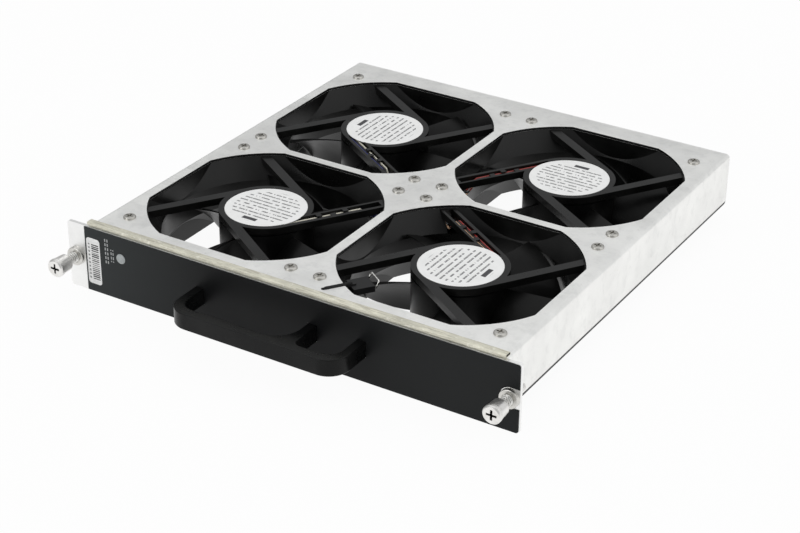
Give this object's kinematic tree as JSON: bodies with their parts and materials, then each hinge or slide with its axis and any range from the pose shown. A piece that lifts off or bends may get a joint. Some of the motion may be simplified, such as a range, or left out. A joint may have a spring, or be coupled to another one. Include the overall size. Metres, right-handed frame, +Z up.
{
  "type": "fan tray",
  "caption": "Slide-in cooling fan tray: folded metal tray with axial fans under clipped round openings, a face plate with strap handle, captive thumbscrews and a gasket strip.",
  "frame": {"origin": "middle of the footprint, at the level of the fans' undersides and the face plate's lower edge", "axes": "+X to the right along the face plate, +Y into the chassis (the face plate looks along -Y), +Z up, the way the air leaves"},
  "size_m": [0.2774, 0.3014, 0.0416],
  "materials": {
    "tray_metal": "satin, lightly brushed sheet",
    "panel_metal": "satin plate with bright cut edges",
    "overlay_film": "fine matte film",
    "white_label": "matte printed film",
    "gasket_fabric": "conductive woven fabric, slightly shiny",
    "handle_plastic": "satin moulded plastic",
    "bright_nickel": "bright nickel plating",
    "spring_steel": "drawn wire",
    "zinc_steel": "zinc plated",
    "lamp_plastic": "cloudy grey lens",
    "fan_plastic": "satin moulded plastic",
    "rotor_plastic": "satin moulded plastic",
    "motor_steel": "plain steel",
    "magnet": "dull bonded magnet",
    "copper": "enamelled copper wire",
    "board": "solder mask",
    "connector_plastic": "moulded plastic",
    "lead_red": "wire insulation",
    "lead_blue": "wire insulation",
    "cable_black": "cable jacket"
  },
  "bodies": {
    "tray": {"asset_label": "white_label", "bearings": "motor_steel", "board_screws": "zinc_steel", "board_standoffs": "zinc_steel", "control_board": "board", "emi_gasket": "gasket_fabric", "fan_nuts": "zinc_steel", "fan_screws": "zinc_steel", "frame_bl": "fan_plastic", "frame_br": "fan_plastic", "frame_fl": "fan_plastic", "frame_fr": "fan_plastic", "front_panel": "panel_metal", "handle": "handle_plastic", "handle_screws": "zinc_steel", "label_bl": "white_label", "label_br": "white_label", "label_fl": "white_label", "label_fr": "white_label", "lead_plug": "connector_plastic", "leads_bl": "lead_blue", "leads_br": "lead_red", "leads_fl": "lead_blue", "leads_fr": "lead_red", "led_holder": "connector_plastic", "led_leads": "lead_red", "left_ferrule": "bright_nickel", "motor_boards": "board", "panel_overlay": "overlay_film", "panel_rivets": "zinc_steel", "rear_connector": "connector_plastic", "right_ferrule": "bright_nickel", "sensor_cable": "cable_black", "sensor_holder": "connector_plastic", "sensor_probe": "bright_nickel", "stators": "motor_steel", "status_led": "lamp_plastic", "tray_shell": "tray_metal", "windings": "copper"},
    "rotor_fl": {"impeller_fl": "rotor_plastic", "shaft_fl": "motor_steel", "yoke_fl": "motor_steel", "magnet_fl": "magnet"},
    "rotor_fr": {"impeller_fr": "rotor_plastic", "shaft_fr": "motor_steel", "yoke_fr": "motor_steel", "magnet_fr": "magnet"},
    "rotor_br": {"impeller_br": "rotor_plastic", "shaft_br": "motor_steel", "yoke_br": "motor_steel", "magnet_br": "magnet"},
    "rotor_bl": {"impeller_bl": "rotor_plastic", "shaft_bl": "motor_steel", "yoke_bl": "motor_steel", "magnet_bl": "magnet"},
    "left_plunger": {"left_spring": "spring_steel"},
    "left_screw": {"left_captive_screw": "bright_nickel"},
    "right_plunger": {"right_spring": "spring_steel"},
    "right_screw": {"right_captive_screw": "bright_nickel"}
  },
  "joints": [
    {"name": "fan_spin_fl", "type": "hinge", "parent": "tray", "child": "rotor_fl", "pos_m": [-0.0591, -0.05175, 0.019], "axis": [0, 0, 1], "continuous": true},
    {"name": "fan_spin_fr", "type": "hinge", "parent": "tray", "child": "rotor_fr", "pos_m": [0.0637, -0.05175, 0.019], "axis": [0, 0, 1], "continuous": true},
    {"name": "fan_spin_br", "type": "hinge", "parent": "tray", "child": "rotor_br", "pos_m": [0.0637, 0.07025, 0.019], "axis": [0, 0, 1], "continuous": true},
    {"name": "fan_spin_bl", "type": "hinge", "parent": "tray", "child": "rotor_bl", "pos_m": [-0.0591, 0.07025, 0.019], "axis": [0, 0, 1], "continuous": true},
    {"name": "left_screw_push", "type": "slide", "parent": "tray", "child": "left_plunger", "axis": [0, 1, 0], "range_m": [0, 0.0055], "stiffness_N_per_m": 300, "springref_m": -0.004, "deforming": ["left_spring"]},
    {"name": "left_screw_turn", "type": "hinge", "parent": "left_plunger", "child": "left_screw", "pos_m": [-0.1333, -0.12375, 0.0192], "axis": [0, 1, 0], "continuous": true},
    {"name": "right_screw_push", "type": "slide", "parent": "tray", "child": "right_plunger", "axis": [0, 1, 0], "range_m": [0, 0.0055], "stiffness_N_per_m": 300, "springref_m": -0.004, "deforming": ["right_spring"]},
    {"name": "right_screw_turn", "type": "hinge", "parent": "right_plunger", "child": "right_screw", "pos_m": [0.1333, -0.12375, 0.0192], "axis": [0, 1, 0], "continuous": true}
  ]
}
